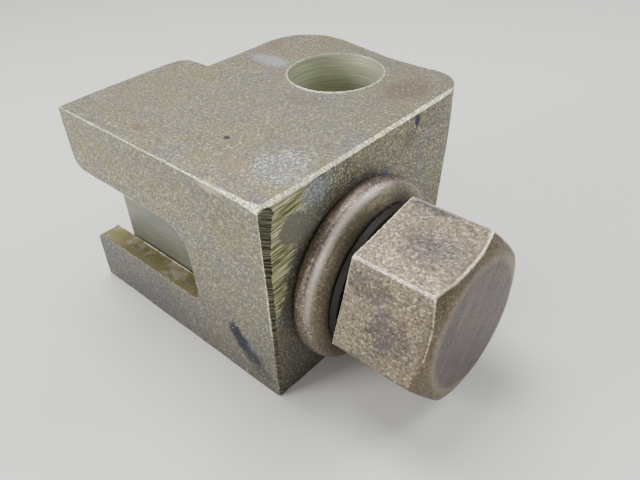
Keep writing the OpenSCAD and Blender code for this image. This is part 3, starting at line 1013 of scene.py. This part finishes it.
def stains_and_painted_end_light(tree, point, colour):
    """Dark stains on two flats, then painted light on the end: a golden painted reflection on the bevel,
    painted shade in purple-grey with streaks on the end face, and a painted highlight ring between them.
    """
    for place, size, cover in head_stains:
        cover_share = add(tree, "ShaderNodeMath", {
            0: spot(tree, point, place, size, 1.8), 1: cover}, operation="MULTIPLY")
        colour = add(tree, "ShaderNodeMixRGB", {
            "Fac": cover_share, "Color1": colour, "Color2": srgb("2c2f3a")})
    along = add(tree, "ShaderNodeSeparateXYZ", {0: point})
    end_x = (bolt_high.x - bolt_axis.x) / MM
    flatten = add(tree, "ShaderNodeVectorMath", {0: point, 1: (0, 1, 1)}, operation="MULTIPLY")
    radius = add(tree, "ShaderNodeVectorMath", {0: flatten}, operation="LENGTH").outputs["Value"]
    # Painted reflection: the bevel round the end is tinted golden, as it reflects the light above.
    near_end = add(tree, "ShaderNodeMapRange", {
        "Value": along.outputs["X"], "From Min": end_x - 1.45, "From Max": end_x - 1.1, "To Max": 0.6})
    colour = add(tree, "ShaderNodeMixRGB", {"Fac": near_end, "Color1": colour, "Color2": srgb("5e543f")})
    # Painted shade: the end face is dark purple-grey, as it faces away from the light and reflects a blue
    # surround; streaks run across it.
    turned_point = millimetres(tree, bolt_axis, turn=(math.radians(-58), 0, 0))
    streaks = scored(tree, turned_point, (4.0, 7.0, 0.8), soft=0.2)
    fine = scored(tree, turned_point, (4.0, 3.0, 0.16), soft=0.2)
    painted_end_shade = add(tree, "ShaderNodeMixRGB", {
        "Fac": streaks, "Color1": srgb("383239"), "Color2": srgb("5f5450")})
    fine_share = add(tree, "ShaderNodeMath", {0: fine, 1: 0.25}, operation="MULTIPLY")
    painted_end_shade = add(tree, "ShaderNodeMixRGB", {"Fac": fine_share, "Color1": painted_end_shade, "Color2": srgb("8d8186")})
    flat_share = add(tree, "ShaderNodeMapRange", {
        "Value": radius, "From Min": 8.5, "From Max": 7.3, "To Max": 0.85})
    end_share = add(tree, "ShaderNodeMath", {0: flat_share, 1: near_end}, operation="MULTIPLY")
    full_share = add(tree, "ShaderNodeMath", {0: end_share, 1: 1.6}, operation="MULTIPLY", use_clamp=True)
    colour = add(tree, "ShaderNodeMixRGB", {"Fac": full_share, "Color1": colour, "Color2": painted_end_shade})
    # Painted highlight: a pale ring where the end face meets its bevel.
    from_rim = add(tree, "ShaderNodeMath", {0: radius, 1: 8.1}, operation="SUBTRACT")
    apart = add(tree, "ShaderNodeMath", {0: from_rim}, operation="ABSOLUTE")
    painted_rim_highlight = add(tree, "ShaderNodeMapRange", {
        "Value": apart, "From Min": 0.7, "From Max": 0.0, "To Max": 0.35})
    rim_share = add(tree, "ShaderNodeMath", {0: painted_rim_highlight, 1: near_end}, operation="MULTIPLY")
    return add(tree, "ShaderNodeMixRGB", {"Fac": rim_share, "Color1": colour, "Color2": srgb("c2b3a2")})


def olive_dome_with_painted_light(tree, point, colour):
    """The washer's dome is olive, its ridge is painted pale on its upper side as a painted highlight with a
    little wear, and a painted shadow darkens the dome under the head.
    """
    along = add(tree, "ShaderNodeSeparateXYZ", {0: point})
    start_x = (washer_low.x - bolt_axis.x) / MM
    dome = add(tree, "ShaderNodeMapRange", {
        "Value": along.outputs["X"], "From Min": start_x + 2.7, "From Max": start_x + 3.4, "To Max": 0.6})
    colour = add(tree, "ShaderNodeMixRGB", {"Fac": dome, "Color1": colour, "Color2": srgb("5e5940")})
    from_ridge = add(tree, "ShaderNodeMath", {
        0: along.outputs["X"], 1: start_x + 2.75}, operation="SUBTRACT")
    apart = add(tree, "ShaderNodeMath", {0: from_ridge}, operation="ABSOLUTE")
    ridge = add(tree, "ShaderNodeMapRange", {"Value": apart, "From Min": 0.5, "From Max": 0.05})
    # Painted highlight: the ridge is paler where it faces up and to the front, where the light catches it; a
    # little of it is wear.
    upper = add(tree, "ShaderNodeVectorMath", {0: point, 1: (0, -0.6, 0.8)}, operation="DOT_PRODUCT")
    rubbed_and_highlit = add(tree, "ShaderNodeMapRange", {
        "Value": upper.outputs["Value"], "From Min": 6.5, "From Max": 11.5, "To Min": 0.1, "To Max": 0.55})
    ridge_share = add(tree, "ShaderNodeMath", {0: ridge, 1: rubbed_and_highlit}, operation="MULTIPLY")
    colour = add(tree, "ShaderNodeMixRGB", {"Fac": ridge_share, "Color1": colour, "Color2": srgb("e6dccf")})
    # Painted shadow: the dome darkens to near black towards the head, under the head's edge.
    painted_head_shadow = add(tree, "ShaderNodeMapRange", {
        "Value": along.outputs["X"], "From Min": start_x + 3.4, "From Max": start_x + 4.3, "To Max": 0.92})
    return add(tree, "ShaderNodeMixRGB", {"Fac": painted_head_shadow, "Color1": colour, "Color2": srgb("1d1613")})


def bolt_bronze(tree, shader):
    along_flats = millimetres(tree, bolt_axis, turn=(0, math.radians(-10), 0))
    mill_lines = scored(tree, along_flats, (1.6, 0.13, 0.13))
    tarnished(tree, shader, ("64503d", "5b563e", "685c50"), mill_lines, stains_and_painted_end_light, 0.7, 1.15)


def washer_bronze(tree, shader):
    lathe_lines = scored(tree, millimetres(tree, bolt_axis), (0.14, 4.0, 4.0))
    tarnished(tree, shader, ("57463c", "5a5047", "635352"), lathe_lines, olive_dome_with_painted_light, 0.35, 1.5)


def spring_bronze_in_painted_shade(tree, shader):
    point = millimetres(tree, bolt_axis)
    grain, tint, painted_glints = grit(tree, point, 0.2)
    # Painted shade: the ring is near black, for the shadow in the gap under the head.
    colour = add(tree, "ShaderNodeMixRGB", {
        "Fac": grain, "Color1": srgb("090706"), "Color2": srgb("1c1511")})
    tree.links.new(colour.outputs[0], shader.inputs["Base Color"])
    shader.inputs["Metallic"].default_value = 0.5
    shader.inputs["Roughness"].default_value = 0.65
    bump = add(tree, "ShaderNodeBump", {"Height": grain, "Strength": 0.6, "Distance": 0.03 * MM})
    tree.links.new(bump.outputs[0], shader.inputs["Normal"])


for piece, name, builder in (
        (bolt, "tarnished_bronze_bar", bolt_bronze), (washer, "tarnished_bronze_ring", washer_bronze),
        (spring, "spring_bronze_painted_shade", spring_bronze_in_painted_shade)):
    piece.data.materials.clear()
    piece.data.materials.append(metal(name, builder))

# %% [markdown]
# ## Milled bronze
# The block has slid in its pocket with a little oil, so it has kept a smooth skin of even
# greenish grey with faint lines along its travel.


# %% Milled bronze shader
def milled(tree, shader):
    point = millimetres(tree, corner)
    colour = patina(tree, point, 6.0, ("67685c", "646865", "6c6a5a"))
    lines = scored(tree, point, (5.0, 0.3, 0.3))
    colour = add(tree, "ShaderNodeMixRGB", {
        "Fac": add(tree, "ShaderNodeMath", {0: lines, 1: 0.25}, operation="MULTIPLY"),
        "Color1": colour, "Color2": srgb("98988a")})
    tree.links.new(colour.outputs[0], shader.inputs["Base Color"])
    roughness = add(tree, "ShaderNodeMapRange", {"Value": lines, "To Min": 0.5, "To Max": 0.4})
    tree.links.new(roughness.outputs[0], shader.inputs["Roughness"])
    shader.inputs["Metallic"].default_value = 0.6
    bump = add(tree, "ShaderNodeBump", {"Height": lines, "Strength": 0.4, "Distance": 0.01 * MM})
    tree.links.new(bump.outputs[0], shader.inputs["Normal"])


block.data.materials.clear()
block.data.materials.append(metal("milled_bronze", milled))
